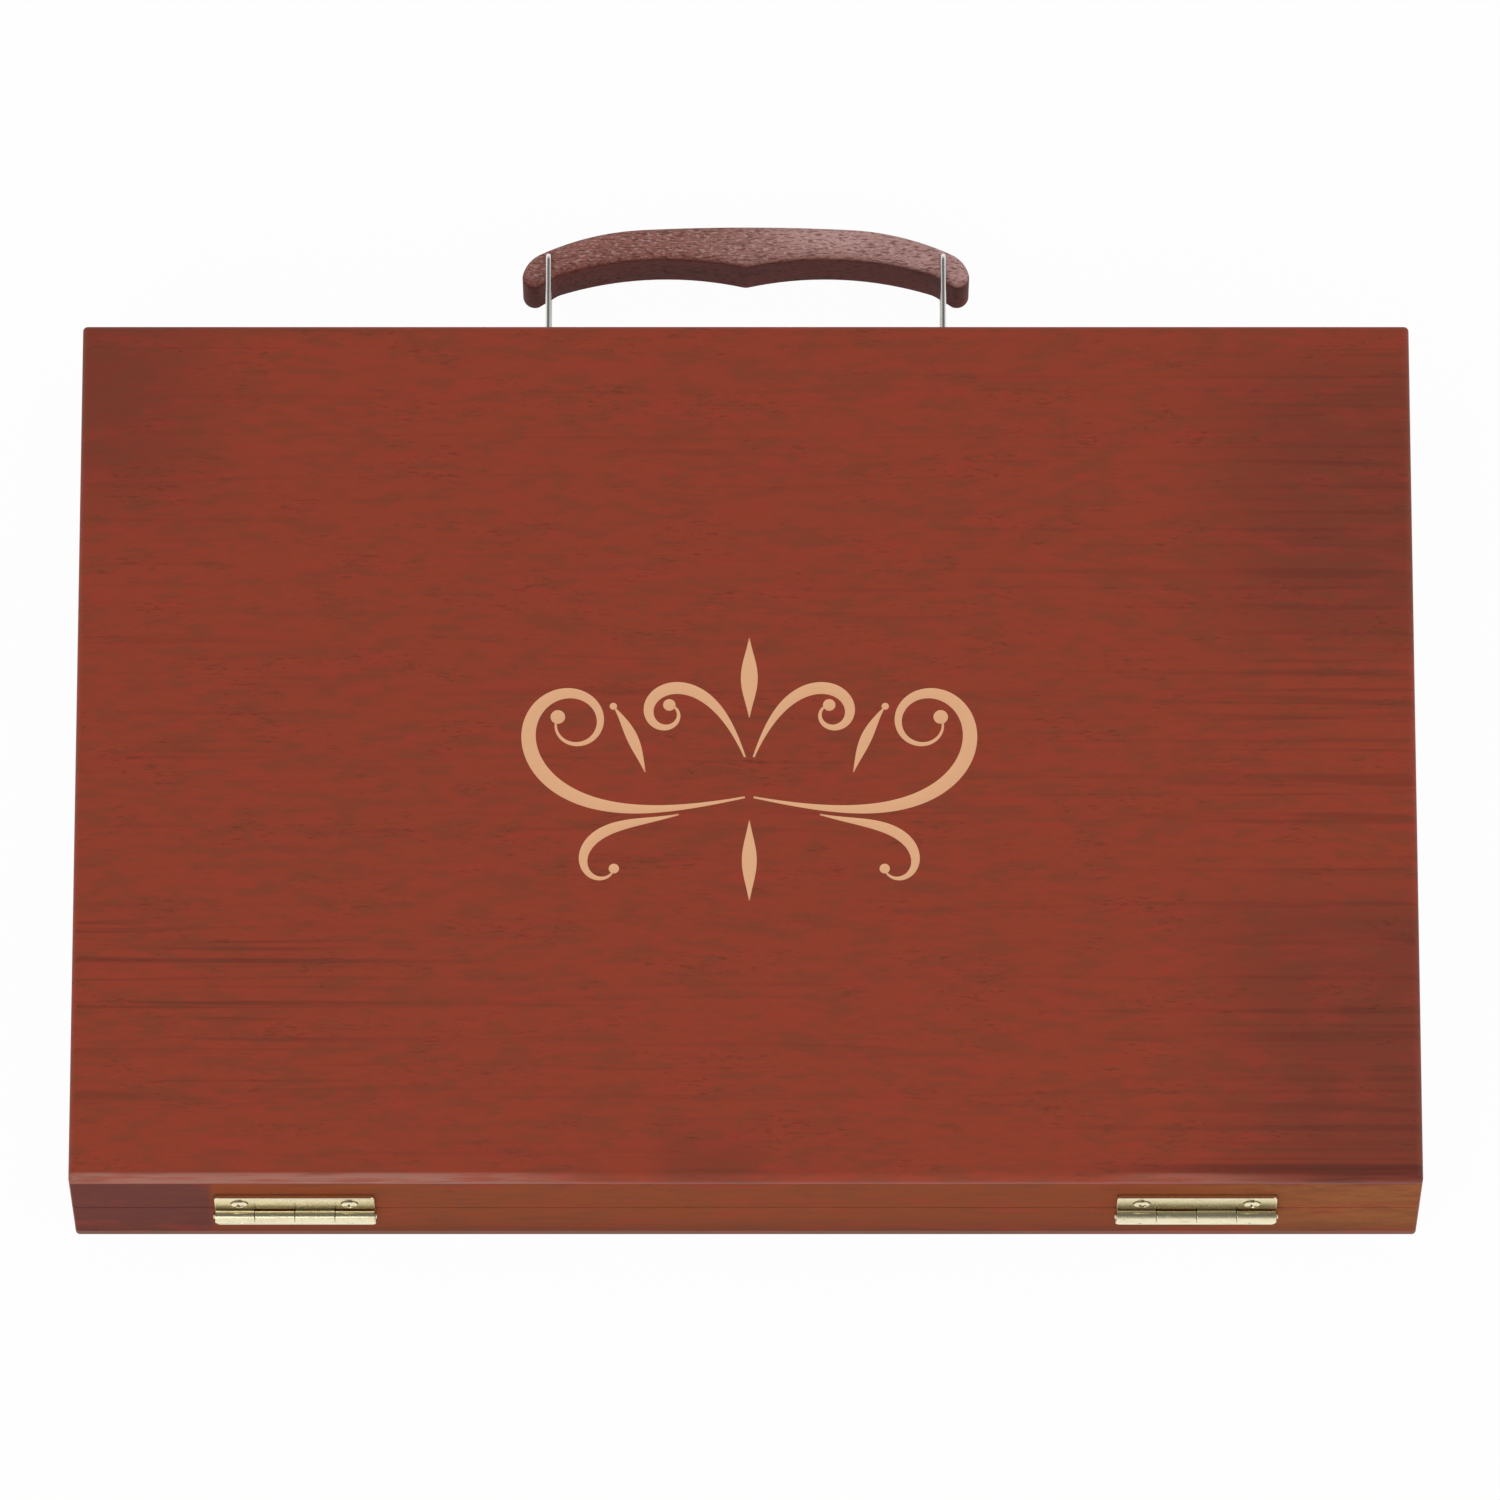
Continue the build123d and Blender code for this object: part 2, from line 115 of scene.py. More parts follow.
def apply_modifier(piece, kind, **settings):
    """Adds one modifier to a piece and applies it."""
    take(piece)
    modifier = piece.modifiers.new(kind.lower(), kind)
    for name, value in settings.items():
        setattr(modifier, name, value)
    bpy.ops.object.modifier_apply(modifier=modifier.name)


def colour(red, green, blue):
    """A shader colour from the 0 to 255 values of a colour chip."""
    channels = []
    for value in (red, green, blue):
        share = value / 255
        channels.append(share / 12.92 if share <= 0.04045 else ((share + 0.055) / 1.055) ** 2.4)
    return (*channels, 1.0)


class Socket:
    """A shader socket that takes part in a Python expression."""

    def __init__(self, finish, socket):
        self.finish = finish
        self.socket = socket

    def __add__(self, other):
        return self.finish.maths("ADD", self, other)

    def __sub__(self, other):
        return self.finish.maths("SUBTRACT", self, other)

    def __rsub__(self, other):
        return self.finish.maths("SUBTRACT", other, self)

    def __mul__(self, other):
        return self.finish.maths("MULTIPLY", self, other)

    __radd__ = __add__
    __rmul__ = __mul__


principled_names = {"gloss_level": "Specular IOR Level"}


class Finish:
    """The nodes of one finish."""

    def __init__(self, tree):
        self.tree = tree
        self.tree.nodes.clear()

    def node(self, kind, settings=None, sockets=None, output=0):
        """Adds a node: its settings first, then the values or links of its sockets."""
        made = self.tree.nodes.new(kind)
        for name, value in (settings or {}).items():
            setattr(made, name, value)
        for name, value in (sockets or {}).items():
            if isinstance(value, Socket):
                self.tree.links.new(value.socket, made.inputs[name])
            else:
                made.inputs[name].default_value = value
        return Socket(self, made.outputs[output]) if made.outputs else made

    def maths(self, operation, first, second):
        return self.node("ShaderNodeMath", {"operation": operation}, {0: first, 1: second})

    def blend(self, share, first, second):
        """The first colour where share is 0, and the second where it is 1."""
        settings = {"data_type": "RGBA", "clamp_factor": True}
        return self.node("ShaderNodeMix", settings, {0: share, 6: first, 7: second}, 2)

    def rise(self, value, low, high):
        """0 below low, 1 above high and smooth in between."""
        settings = {"interpolation_type": "SMOOTHSTEP"}
        sockets = {"Value": value, "From Min": low, "From Max": high}
        return self.node("ShaderNodeMapRange", settings, sockets)

    def band(self, value, middle, half_width, softness):
        """1 within half_width of the middle, falling to 0 over the softness."""
        distance = self.node("ShaderNodeMath", {"operation": "ABSOLUTE"}, {0: value - middle})
        return 1 - self.rise(distance, half_width, half_width + softness)

    def place(self):
        """The point on the piece, in metres in the frame."""
        return self.node("ShaderNodeTexCoord", output="Object")

    def along(self, axis):
        """How far the point lies along one axis, in millimetres."""
        split = self.node("ShaderNodeSeparateXYZ", sockets={0: self.place()}, output=axis)
        return split * (1 / MM)

    def grain(self, axis, length, width, detail=2.0, roughness=0.5, warp=0.0):
        """Noise drawn out to a length along an axis and a width across it, in millimetres."""
        stretch = [1 / (width * MM)] * 3
        stretch["XYZ".index(axis)] = 1 / (length * MM)
        settings = {"operation": "MULTIPLY"}
        spot = self.node("ShaderNodeVectorMath", settings, {0: self.place(), 1: stretch})
        sockets = {
            "Vector": spot,
            "Scale": 1.0,
            "Detail": detail,
            "Roughness": roughness,
            "Distortion": warp,
        }
        return self.node("ShaderNodeTexNoise", sockets=sockets)

    def surface(self, relief, depth, **sockets):
        """Ends the finish in a Principled surface whose relief is depth millimetres deep."""
        bump = {"Height": relief, "Distance": depth * MM, "Strength": 1.0}
        named = {"Normal": self.node("ShaderNodeBump", sockets=bump)}
        for name, value in sockets.items():
            named[principled_names.get(name, name.replace("_", " ").title())] = value
        shader = self.node("ShaderNodeBsdfPrincipled", sockets=named)
        self.node("ShaderNodeOutputMaterial", sockets={"Surface": shader})


def finish_named(name):
    """A new material and the nodes of its finish."""
    material = bpy.data.materials.new(name)
    material.use_nodes = True
    return material, Finish(material.node_tree)


# Colours of the stained and of the bared wood. The worn edge is also a painted sheen, and the dark
# edge also paints a shade line
stain_red = colour(158, 64, 42)
stain_bright = colour(166, 60, 45)
stain_brown = colour(122, 66, 43)
stain_streak = colour(92, 46, 34)
stain_purple = colour(116, 55, 43)
worn_edge_and_sheen = colour(176, 132, 118)
dark_edge_and_shade = colour(66, 34, 30)
bared_pale = colour(240, 184, 140)
bared_dark = colour(237, 181, 137)


def stained(finish, axis, ground):
    """Lays soft and fine mottling, faint streaks and clustered flecks over a ground colour."""
    fibres = finish.grain(axis, 14, 0.4, detail=2, roughness=0.5)
    brown = finish.rise(finish.grain(axis, 11, 3.2, detail=5, roughness=0.62), 0.44, 0.64)
    bright = finish.rise(finish.grain(axis, 26, 7, detail=4, roughness=0.6), 0.5, 0.66)
    streaks = finish.rise(finish.grain(axis, 90, 2.6, detail=3, warp=0.3), 0.55, 0.75)
    clusters = finish.rise(finish.grain(axis, 26, 10, detail=2), 0.48, 0.62)
    flecks = finish.rise(finish.grain(axis, 3.2, 0.7, detail=2, warp=0.6), 0.54, 0.7) * clusters
    mottle = finish.rise(finish.grain(axis, 2.0, 0.9, detail=4, roughness=0.7), 0.42, 0.62)
    tone = finish.blend(bright * 0.42, ground, stain_bright)
    tone = finish.blend(brown * 0.43, tone, stain_brown)
    tone = finish.blend(streaks * 0.2, tone, stain_streak)
    tone = finish.blend(finish.rise(fibres, 0.5, 0.8) * 0.12, tone, stain_streak)
    tone = finish.blend(mottle * 0.16, tone, stain_brown)
    tone = finish.blend(flecks * 0.38, tone, stain_streak)
    return tone, fibres, flecks


def lacquered(finish, tone, fibres, flecks):
    """A thin satin lacquer over open grain."""
    finish.surface(
        base_color=tone,
        roughness=0.46 + fibres * 0.12,
        gloss_level=0.16,
        coat_weight=0.06,
        coat_roughness=0.3,
        relief=fibres - flecks * 0.8,
        depth=0.02,
    )


def bare_cut(finish, x, y, z):
    """1 inside the flourish's gouge, which is all that lies just under the lid's face there."""
    across = finish.band(x, flourish_at[0], flourish_half_length, 1)
    along = finish.band(y, flourish_at[1], flourish_half_height, 1)
    under = finish.rise(z, lid_face - bared_deepest - 0.1, lid_face - bared_deepest)
    top = lid_face - bared_shallowest
    under = under * (1 - finish.rise(z, top - 0.03, top))
    return across * along * under


def lid_wood():
    """The lid's face: red in the middle, purple-brown towards the ends, with a back edge lighter by
    wear and a painted sheen, and a painted shade line before the rounding at the right.
    """
    material, finish = finish_named("lid_wood")
    x = finish.along("X")
    y = finish.along("Y")
    z = finish.along("Z")
    right_end = finish.rise(x, 112, 165)
    upper = finish.band(y, 76, 26, 34)
    lower = finish.band(y, -88, 30, 26)
    left_corner = (1 - finish.rise(x, -182, -135)) * finish.rise(y, 50, 100)
    ends = right_end * (upper + lower) + left_corner
    ends = ends + finish.band(x, -10, 8, 12) * (1 - finish.rise(y, -122, -108)) * 0.6
    ground = finish.blend(ends * 0.6, stain_red, stain_purple)
    lines = finish.rise(finish.grain("X", 130, 2.6, detail=3, warp=0.25), 0.52, 0.66)
    left_lines = (1 - finish.rise(x, -150, -70)) * finish.band(y, -78, 16, 24)
    ground = finish.blend(lines * (right_end * 0.36 + left_lines * 0.55), ground, stain_streak)
    tone, fibres, flecks = stained(finish, "X", ground)
    # Wear and painted sheen: the back rounding gets a lighter, patchy band, partly wear and partly a
    # painted highlight of the rounding, turning dark at the right end
    back_rim = 1 - finish.rise(y, 1.6 - half_depth, rounding - half_depth)
    back_rim = back_rim * finish.rise(z, wear_and_sheen_starts, wear_and_sheen_full)
    patches = finish.rise(finish.grain("X", 16, 1.4, detail=4), 0.35, 0.62)
    left_wear_and_sheen = 1 - finish.rise(x, -85, -35)
    right_wear_and_sheen = finish.rise(x, 95, 120) * (0.55 + finish.rise(x, 130, 165) * 0.45)
    wear_and_sheen = back_rim * (0.2 + patches * 0.35) * (left_wear_and_sheen + right_wear_and_sheen)
    worn_and_sheen_tone = finish.blend(finish.rise(x, 120, 165), worn_edge_and_sheen, dark_edge_and_shade)
    tone = finish.blend(wear_and_sheen, tone, worn_and_sheen_tone)
    # Painted shade: a dark line on the face just before the back rounding, towards the right end
    painted_shade_line = finish.band(y, shade_line_in - half_depth, 0.8, 1.4) * finish.rise(x, 80, 150)
    tone = finish.blend(painted_shade_line * 0.5, tone, dark_edge_and_shade)
    bared = finish.blend(finish.rise(fibres, 0.4, 0.8), bared_pale, bared_dark)
    tone = finish.blend(bare_cut(finish, x, y, z), tone, bared)
    lacquered(finish, tone, fibres, flecks)
    return material


def plain_wood(name, axis, ground):
    """A wall or panel of one ground colour, with its grain along one axis."""
    material, finish = finish_named(name)
    tone, fibres, flecks = stained(finish, axis, ground)
    lacquered(finish, tone, fibres, flecks)
    return material


def back_wall_wood():
    """The hinge wall, which runs from purple-brown through red-brown to a golden right end."""
    material, finish = finish_named("back_wall_wood")
    x = finish.along("X")
    z = finish.along("Z")
    ground = finish.blend(finish.rise(x, -152, -149), colour(108, 55, 50), colour(146, 71, 36))
    ground = finish.blend(finish.rise(x, 100, 172), ground, colour(156, 92, 48))
    ground = finish.blend((1 - finish.rise(z, 0, 18)) * 0.5, ground, stain_streak)
    tone, fibres, flecks = stained(finish, "X", ground)
    finish.surface(
        base_color=tone,
        roughness=0.6 + fibres * 0.12,
        gloss_level=0.05,
        relief=fibres - flecks * 0.8,
        depth=0.02,
    )
    return material


def grip_wood():
    """Dark wood, speckled by open pores on its flat faces; its upright sides get a darker tone as
    painted shade, and less relief.
    """
    material, finish = finish_named("grip_wood")
    z = finish.along("Z")
    # Painted shade: the upright sides, between the flat top and bottom faces, take a darker tone and
    # less relief
    shaded_sides = finish.band(z, grip_middle, grip_half - 2.4, 1.6)
    pores = finish.rise(finish.grain("X", 2.2, 0.5, detail=2), 0.5, 0.64)
    specks = finish.rise(finish.grain("X", 1.3, 0.6, detail=2), 0.5, 0.64)
    clouds = finish.rise(finish.grain("X", 26, 7, detail=2), 0.35, 0.7)
    paler = finish.rise(finish.along("X"), -30, 45)
    flat_tone = finish.blend(paler, colour(160, 106, 96), colour(212, 168, 163))
    flat_tone = finish.blend(clouds * 0.4, flat_tone, colour(140, 92, 84))
    flat_tone = finish.blend(specks * (0.38 + paler * 0.2), flat_tone, colour(222, 190, 184))
    flat_tone = finish.blend(pores * 0.65, flat_tone, colour(96, 56, 50))
    # The darker tone of the upright sides is painted shade
    rubbed_and_shaded = finish.blend(clouds, colour(114, 46, 33), colour(94, 38, 28))
    rubbed_and_shaded = finish.blend(pores * 0.25, rubbed_and_shaded, colour(60, 30, 26))
    tone = finish.blend(shaded_sides, flat_tone, rubbed_and_shaded)
    finish.surface(
        base_color=tone,
        roughness=0.56 + pores * 0.16,
        gloss_level=0.12,
        relief=(specks - pores) * (1 - shaded_sides * 0.8),
        depth=0.05,
    )
    return material


def rubbed_metal(name, bright, dull, grime_and_shade, roughness):
    """Plated metal with drawn lines, smudges, a little tarnish, and every corner darkened by grime
    and by painted shade.
    """
    material, finish = finish_named(name)
    drawn = finish.grain("X", 6, 0.12, detail=2)
    smudges = finish.grain("X", 5, 3, detail=3)
    tarnish = finish.rise(finish.grain("X", 2.2, 1.1, detail=3), 0.56, 0.74)
    # Painted shade: ambient occlusion darkens every corner, crease and recess towards the grime
    # colour, for grime and for the shade that falls there
    openness = finish.node(
        "ShaderNodeAmbientOcclusion",
        {"samples": 8},
        {"Distance": shade_and_grime_reach},
        output="AO",
    )
    corner_grime_and_shade = 1 - finish.rise(openness, 0.35, 0.88)
    tone = finish.blend(tarnish * 0.3 + finish.rise(smudges, 0.45, 0.75) * 0.2, bright, dull)
    tone = finish.blend(corner_grime_and_shade * 0.85, tone, grime_and_shade)
    finish.surface(
        base_color=tone,
        metallic=1.0,
        roughness=roughness + smudges * 0.14 + tarnish * 0.12 + corner_grime_and_shade * 0.3,
        relief=drawn,
        depth=0.008,
    )
    return material


def tray_flock():
    """Black moulded sheet with a short flock, a little greyer where it is rubbed."""
    material, finish = finish_named("tray_flock")
    fluff = finish.grain("X", 0.45, 0.45, detail=3)
    rubbed_and_shaded = finish.rise(finish.grain("X", 22, 16, detail=3), 0.5, 0.75)
    tone = finish.blend(fluff, colour(30, 28, 27), colour(64, 61, 59))
    tone = finish.blend(rubbed_and_shaded * 0.3, tone, colour(84, 80, 76))
    finish.surface(
        base_color=tone,
        roughness=0.82 + fluff * 0.12,
        gloss_level=0.25,
        relief=fluff,
        depth=0.12,
    )
    return material


brass = rubbed_metal(
    "hinge_brass",
    bright=colour(240, 229, 194),
    dull=colour(172, 150, 104),
    grime_and_shade=colour(52, 34, 22),
    roughness=0.15,
)
nickel = rubbed_metal(
    "bail_nickel",
    bright=colour(230, 228, 224),
    dull=colour(168, 164, 158),
    grime_and_shade=colour(58, 50, 46),
    roughness=0.15,
)
long_wall = plain_wood("long_wall_wood", "X", stain_red)
end_wall = plain_wood("end_wall_wood", "Y", stain_red)

finish_of_node = {
    "lid_panel": lid_wood(),
    "base_panel": plain_wood("base_panel_wood", "X", stain_brown),
    "grip": grip_wood(),
    "bail_clip_screws": nickel,
}
back_wall = back_wall_wood()
flock = tray_flock()
for half in ("base", "lid"):
    finish_of_node[f"{half}_front_wall"] = long_wall
    finish_of_node[f"{half}_back_wall"] = back_wall
    finish_of_node[f"{half}_left_wall"] = end_wall
    finish_of_node[f"{half}_right_wall"] = end_wall
    finish_of_node[f"{half}_tray"] = flock
for side in ("left", "right"):
    finish_of_node[f"{side}_bail"] = nickel
    finish_of_node[f"{side}_bail_clip"] = nickel
for node, piece in frame["nodes"].items():
    piece.data.materials.clear()
    piece.data.materials.append(finish_of_node.get(node, brass))


def smooth_rounds(piece):
    """Shades the rounds smooth and lets the flat faces beside them stay flat."""
    take(piece)
    bpy.ops.object.shade_smooth_by_angle(angle=smooth_angle)
    apply_modifier(piece, "WEIGHTED_NORMAL", mode="FACE_AREA", weight=100, keep_sharp=True)


def eased_copy(node, arris):
    """A copy of a node with its sharp edges eased by a small round, which stands for the node."""
    source = frame["nodes"][node]
    piece = bpy.data.objects.new(f"{node}_eased", source.data.copy())
    bpy.context.scene.collection.objects.link(piece)
    take(piece)
    bpy.ops.mesh.customdata_custom_splitnormals_clear()
    bpy.ops.object.mode_set(mode="EDIT")
    bpy.ops.mesh.select_all(action="SELECT")
    bpy.ops.mesh.remove_doubles(threshold=weld_distance)
    bpy.ops.mesh.dissolve_limited(angle_limit=radians(0.5))
    bpy.ops.object.mode_set(mode="OBJECT")
    if arris:
        apply_modifier(
            piece,
            "BEVEL",
            width=arris,
            segments=2,
            limit_method="ANGLE",
            angle_limit=smooth_angle,
        )
    smooth_rounds(piece)
    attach(piece, source["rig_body"])
    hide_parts(node)
    return piece


for half in ("base", "lid"):
    eased_copy(f"{half}_tray", 0.0)
    for side in ("front", "back", "left", "right"):
        eased_copy(f"{half}_{side}_wall", wood_arris)
eased_copy("base_panel", panel_arris)
for node in ("grip", "left_bail", "right_bail"):
    eased_copy(node, 0.0)
for side in ("left", "right"):
    for metal_piece in (
        "hinge_lid_leaf",
        "hinge_base_leaf",
        "bail_clip",
        "latch_plate",
        "latch_tongue",
        "latch_keeper",
    ):
        eased_copy(f"{side}_{metal_piece}", metal_arris)


# The flourish: curling strokes on the right, each with its twin on the left. A stroke is its start,
# its heading in degrees, its length, its bend per millimetre at the start and at the end, its width
# at the ends and in the middle, and the radius of the drop that closes it. A dart has no bend
flourish_strokes = (
    ((1.2, -10), -12, 128, 0.004, 0.19, 0.9, 4.4, 2.1),
    ((1.2, 2), 70, 60, -0.012, -0.34, 0.9, 3.8, 1.8),
    ((20, -15.2), -14, 46, 0.012, -0.3, 0.8, 3.4, 1.5),
    ((29.5, -2.5), 74, 22, -0.01, -0.03, 0.7, 3.4, 1.1),
)
flourish_darts = (
    ((0, 14), 90, 24, 0, 0, 0.7, 5.0, 0),
    ((0, -17), -90, 24, 0, 0, 0.7, 4.4, 0),
)
stroke_steps = 120

# The strokes' middle lines run a little above the lid's face, so that no edge of a cutter lies in it
stroke_lift = 0.03


def curl(start, heading, length, first_bend, last_bend):
    """Points along a stroke whose bend grows from its first to its last value."""
    x, y = start
    turn = radians(heading)
    step = length / stroke_steps
    points = [(x, y)]
    for i in range(stroke_steps):
        share = (i + 0.5) / stroke_steps
        turn += (first_bend + (last_bend - first_bend) * share**2) * step
        x += cos(turn) * step
        y += sin(turn) * step
        points.append((x, y))
    return points


def stroke_cutter(stroke, side):
    """The round rod of one stroke, thickest in the middle, and the drop at its end."""
    start, heading, length, first_bend, last_bend, thin, full, drop_r = stroke
    spots = []
    for x, y in curl(start, heading, length, first_bend, last_bend):
        spot = (flourish_at[0] + side * x, flourish_at[1] + y, lid_face + stroke_lift)
        spots.append(Vector(spot) * MM)
    path = bpy.data.curves.new("flourish_stroke", "CURVE")
    path.dimensions = "3D"
    path.bevel_depth = MM / 2
    path.bevel_resolution = 3
    path.use_fill_caps = True
    line = path.splines.new("POLY")
    line.points.add(len(spots) - 1)
    for i, spot in enumerate(spots):
        swell = sin(pi * i / stroke_steps) ** 1.5
        line.points[i].co = (*spot, 1)
        line.points[i].radius = thin + (full - thin) * swell
    rod = bpy.data.objects.new("flourish_stroke", path)
    bpy.context.scene.collection.objects.link(rod)
    take(rod)
    bpy.ops.object.convert(target="MESH")
    cutters = [bpy.context.active_object]
    if drop_r:
        bpy.ops.object.select_all(action="DESELECT")
        bpy.ops.mesh.primitive_uv_sphere_add(
            segments=40,
            ring_count=16,
            radius=drop_r * MM,
            location=spots[-1],
        )
        cutters.append(bpy.context.active_object)
    return cutters


def pressed(cutter):
    """A cutter closed at its ends and pressed down to a shallow gouge."""
    take(cutter)
    bpy.ops.object.transform_apply(location=True, rotation=True, scale=True)
    bpy.ops.object.mode_set(mode="EDIT")
    bpy.ops.mesh.select_all(action="SELECT")
    bpy.ops.mesh.remove_doubles(threshold=weld_distance)
    bpy.ops.mesh.normals_make_consistent(inside=False)
    bpy.ops.transform.resize(value=(1, 1, gouge_share), center_override=(0, 0, lid_high.z))
    bpy.ops.object.mode_set(mode="OBJECT")
    return cutter


def cut_away(piece, cutter):
    """Cuts a cutter's shape out of a piece."""
    apply_modifier(piece, "BOOLEAN", operation="DIFFERENCE", solver="EXACT", object=cutter)
    bpy.data.objects.remove(cutter)


lid = eased_copy("lid_panel", panel_arris)
for stroke in flourish_strokes:
    for side in (1, -1):
        for cutter in stroke_cutter(stroke, side):
            cut_away(lid, pressed(cutter))
for dart in flourish_darts:
    for cutter in stroke_cutter(dart, 1):
        cut_away(lid, pressed(cutter))
smooth_rounds(lid)


# The wood screws: a countersunk head that stands a little proud, domed and with a cross recess,
# over a plain shank. The land and the shank are shares of the head's radius, and the upright edge
# is a share of the rise
screw_sides = 36
land_share = 0.93
edge_share = 0.55
shank_share = 0.47
screw_length = 6.8 * MM
dome_rise = 0.8 * MM
low_dome_rise = 0.15 * MM
dome_rings = (0.95, 0.85, 0.68, 0.45, 0.2)
facing_up = 0.9
recess_reach = 2.9 * MM
recess_width = 0.7 * MM
recess_depth = 1.6 * MM
recess_taper = 0.4


def wood_screw(head_r, rise):
    """One screw, head up: its head's rim stands a little inside the countersink, at the origin."""
    land_r = head_r * land_share
    shank_r = head_r * shank_share
    bpy.ops.object.select_all(action="DESELECT")
    bpy.ops.mesh.primitive_circle_add(vertices=screw_sides, radius=land_r, fill_type="NGON")
    screw = bpy.context.active_object
    bpy.ops.object.mode_set(mode="EDIT")
    bpy.ops.mesh.select_all(action="SELECT")
    rings = (
        (head_r - land_r, 1.0),
        (land_r - shank_r, shank_r / land_r),
        (screw_length - head_r, 1.0),
        (shank_r, 0.3),
    )
    for drop, share in rings:
        bpy.ops.mesh.extrude_region_move(TRANSFORM_OT_translate={"value": (0, 0, -drop)})
        bpy.ops.transform.resize(value=(share, share, 1))
    bpy.ops.mesh.select_all(action="SELECT")
    bpy.ops.mesh.normals_make_consistent(inside=False)
    bpy.ops.mesh.select_all(action="DESELECT")
    bpy.ops.object.mode_set(mode="OBJECT")
    domed_top(screw, land_r, rise)
    cross_recess(screw, rise)
    smooth_rounds(screw)
    return screw


def domed_top(screw, land_r, rise):
    """Raises the head's flat top by an upright edge, and then to a low dome in rings."""
    edge = rise * edge_share
    for face in screw.data.polygons:
        face.select = face.normal.z > facing_up
    bpy.ops.object.mode_set(mode="EDIT")
    bpy.ops.mesh.extrude_region_move(TRANSFORM_OT_translate={"value": (0, 0, edge)})
    reach = land_r
    height = 0.0
    for share in dome_rings:
        step = (rise - edge) * (1 - share**4) - height
        bpy.ops.mesh.inset(thickness=reach - land_r * share)
        bpy.ops.transform.translate(value=(0, 0, step))
        reach = land_r * share
        height += step
    bpy.ops.object.mode_set(mode="OBJECT")


def cross_recess(screw, rise):
    """Cuts the cross for the driver, its two slots narrowing downwards."""
    middle = rise - recess_depth / 2
    for length, width in ((recess_reach, recess_width), (recess_width, recess_reach)):
        bpy.ops.object.select_all(action="DESELECT")
        bpy.ops.mesh.primitive_cube_add(size=1, location=(0, 0, middle))
        slot = bpy.context.active_object
        slot.scale = (length, width, recess_depth)
        bpy.ops.object.transform_apply(location=True, rotation=True, scale=True)
        for corner in slot.data.vertices:
            if corner.co.z < middle:
                corner.co.x *= recess_taper
                corner.co.y *= recess_taper
        cut_away(screw, slot)


def screw_places(group, holders):
    """Where a group's screws sit, and the tip in degrees that turns a head to face outward."""
    low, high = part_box(group)
    head_r = (high.z - low.z) / 2
    outer_x = low.x + head_r
    middles = []
    for holder in holders:
        holder_low, holder_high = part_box(holder)
        middles.append((holder_low.x + holder_high.x) / 2)
    reach = min(middles) - outer_x
    back = low.y + high.y < 0
    face_y = low.y if back else high.y
    level = (low.z + high.z) / 2
    spots = []
    for middle in middles:
        for side in (-1, 1):
            spots.append(Vector((middle + side * reach, face_y, level)))
    return spots, 90 if back else -90


def screws(group, plates, body, rise=dome_rise):
    """The screws of one group, each turned as it came to rest in its hole."""
    low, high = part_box(group)
    model = wood_screw((high.z - low.z) / 2, rise)
    spots, tip = screw_places(group, [f"left_{plates}", f"right_{plates}"])
    placed = []
    for spot in spots:
        screw = bpy.data.objects.new(f"{group}_one", model.data.copy())
        bpy.context.scene.collection.objects.link(screw)
        take(screw)
        screw.rotation_euler = (0, 0, radians(turns.uniform(0, 90)))
        bpy.ops.object.transform_apply(location=False, rotation=True, scale=False)
        screw.rotation_euler = (radians(tip), 0, 0)
        screw.location = spot
        bpy.ops.object.transform_apply(location=True, rotation=True, scale=False)
        placed.append(screw)
    bpy.data.objects.remove(model)
    bpy.ops.object.select_all(action="DESELECT")
    for screw in placed:
        screw.select_set(True)
    bpy.context.view_layer.objects.active = placed[0]
    bpy.ops.object.join()
    whole = bpy.context.active_object
    whole.name = f"{group}_turned"
    whole.data.materials.clear()
    whole.data.materials.append(finish_of_node.get(group, brass))
    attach(whole, body)
    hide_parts(group)


turns = random.Random(4)
screws("lid_hinge_screws", "hinge_lid_leaf", "lid")
screws("base_hinge_screws", "hinge_base_leaf", "base")
screws("bail_clip_screws", "bail_clip", "base")
screws("latch_plate_screws", "latch_plate", "lid")
screws("latch_keeper_screws", "latch_keeper", "base", rise=low_dome_rise)


# The studio: the floor lies a little below the case, and a share of it shows plain white
floor_gap = 0.2 * MM
floor_size = 12
backdrop_share = 0.97
even_strength = 0.62
overhead_dimming = 0.85


def set_out_studio():
    """A white floor just under the case, which can be looked through from below."""
    bpy.ops.object.select_all(action="DESELECT")
    bpy.ops.mesh.primitive_grid_add(
        x_subdivisions=4,
        y_subdivisions=4,
        size=floor_size,
        location=(0, 0, -floor_gap),
    )
    bpy.ops.object.transform_apply(location=True, rotation=True, scale=True)
    floor = bpy.context.active_object
    floor.name = "studio_floor"
    material, finish = finish_named("studio_floor")
    paper = finish.node(
        "ShaderNodeBsdfPrincipled",
        sockets={"Base Color": (0.86, 0.86, 0.86, 1), "Roughness": 0.9, "Specular IOR Level": 0.1},
    )
    glow = finish.node("ShaderNodeEmission", sockets={"Color": (1, 1, 1, 1), "Strength": 1.0})
    seen = seen_as_backdrop(finish)
    mixed = finish.node("ShaderNodeMixShader", sockets={0: seen * backdrop_share, 1: paper, 2: glow})
    from_below = finish.node("ShaderNodeNewGeometry", output="Backfacing")
    clear = finish.node("ShaderNodeBsdfTransparent")
    whole = finish.node("ShaderNodeMixShader", sockets={0: from_below, 1: mixed, 2: clear})
    finish.node("ShaderNodeOutputMaterial", sockets={"Surface": whole})
    floor.data.materials.append(material)


def seen_as_backdrop(finish):
    """1 for a ray of the camera, of a gloss or through glass, and 0 for soft light."""
    camera_ray = finish.node("ShaderNodeLightPath", output="Is Camera Ray")
    glossy_ray = finish.node("ShaderNodeLightPath", output="Is Glossy Ray")
    clear_ray = finish.node("ShaderNodeLightPath", output="Is Transmission Ray")
    return finish.maths("MINIMUM", camera_ray + glossy_ray + clear_ray, 1.0)


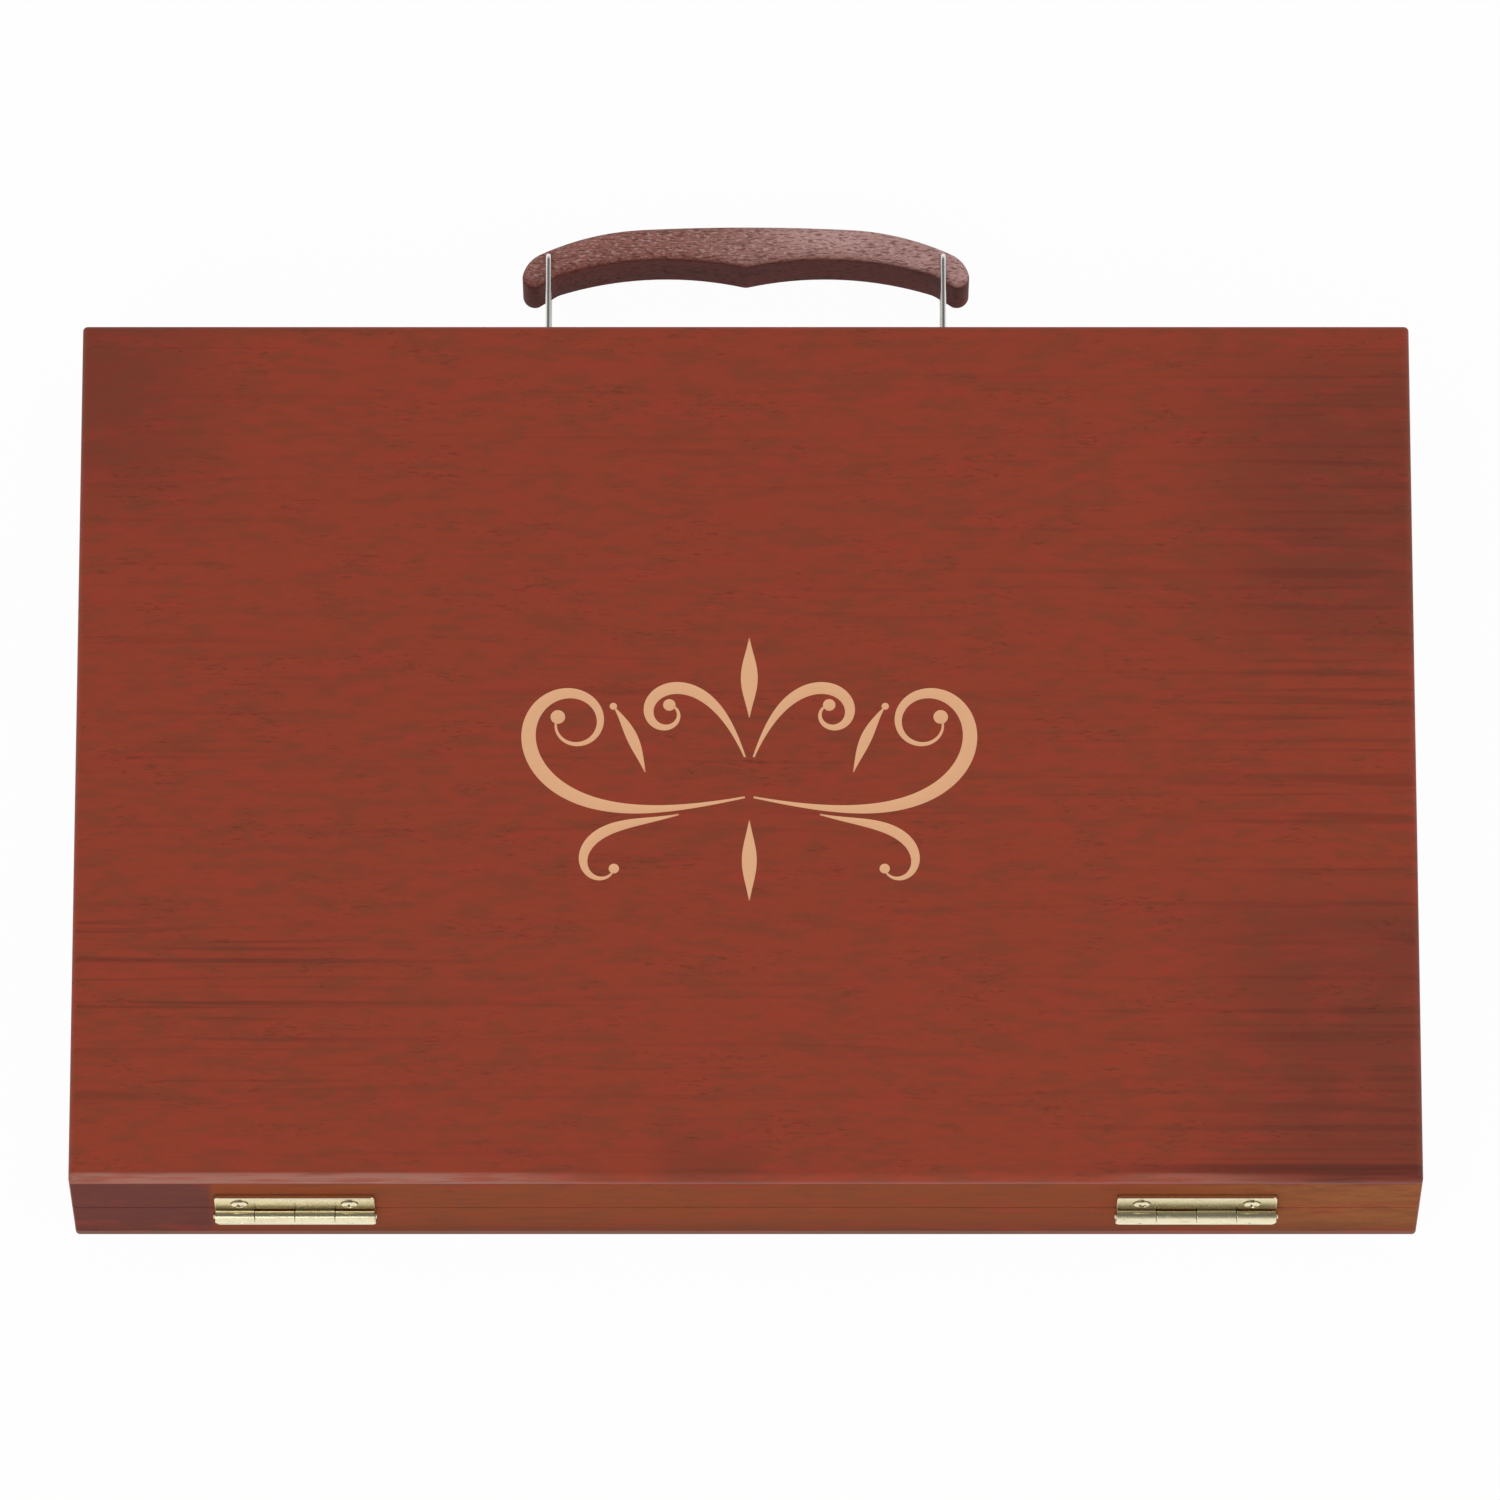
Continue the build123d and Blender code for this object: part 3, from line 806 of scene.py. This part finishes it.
def light_studio():
    """Even light from all round, dimmer overhead in a gloss, with two large soft lamps for shape."""
    world = bpy.data.worlds.new("studio_light")
    bpy.context.scene.world = world
    world.use_nodes = True
    finish = Finish(world.node_tree)
    even = finish.node(
        "ShaderNodeBackground",
        sockets={"Color": (1, 1, 1, 1), "Strength": even_strength},
    )
    direction = finish.node("ShaderNodeTexCoord", output="Generated")
    height = finish.node("ShaderNodeSeparateXYZ", sockets={0: direction}, output="Z")
    glossy_ray = finish.node("ShaderNodeLightPath", output="Is Glossy Ray")
    overhead = finish.rise(height, 0.1, 0.85) * glossy_ray * overhead_dimming
    white = finish.node(
        "ShaderNodeBackground",
        sockets={"Color": (1, 1, 1, 1), "Strength": 1 - overhead},
    )
    seen = seen_as_backdrop(finish)
    mixed = finish.node("ShaderNodeMixShader", sockets={0: seen, 1: even, 2: white})
    finish.node("ShaderNodeOutputWorld", sockets={"Surface": mixed})
    lamps = (
        ("back_lamp", (-0.9, -1.8, 1.5), 1.4, 14),
        ("right_lamp", (1.9, -0.4, 1.4), 1.2, 8),
    )
    for name, spot, size, power in lamps:
        bpy.ops.object.light_add(type="AREA", location=spot)
        lamp = bpy.context.active_object
        lamp.name = name
        lamp.data.shape = "SQUARE"
        lamp.data.size = size
        lamp.data.energy = power
        lamp.rotation_euler = (-Vector(spot)).to_track_quat("-Z", "Y").to_euler()


# The camera's stand: how far off it is in metres, how steeply it looks down, what it looks at in
# millimetres, and its lens and sensor
camera_distance = 4.0
camera_elevation = radians(70.0)
camera_aim = (1.2, 8.3, 25.0)
camera_lens = 336.5
camera_sensor = 36


def set_camera():
    """The photograph's view: nearly straight down, from above the hinges."""
    aim = Vector(camera_aim) * MM
    bpy.ops.object.camera_add()
    camera = bpy.context.active_object
    camera.name = "photo_camera"
    camera.data.sensor_width = camera_sensor
    camera.data.lens = camera_lens
    camera.data.clip_end = 50
    back = Vector((0, -cos(camera_elevation), sin(camera_elevation)))
    camera.location = aim + back * camera_distance
    camera.rotation_euler = (-back).to_track_quat("-Z", "Y").to_euler()
    bpy.context.scene.camera = camera


set_out_studio()
light_studio()
set_camera()
bpy.context.scene.view_settings.view_transform = "Standard"
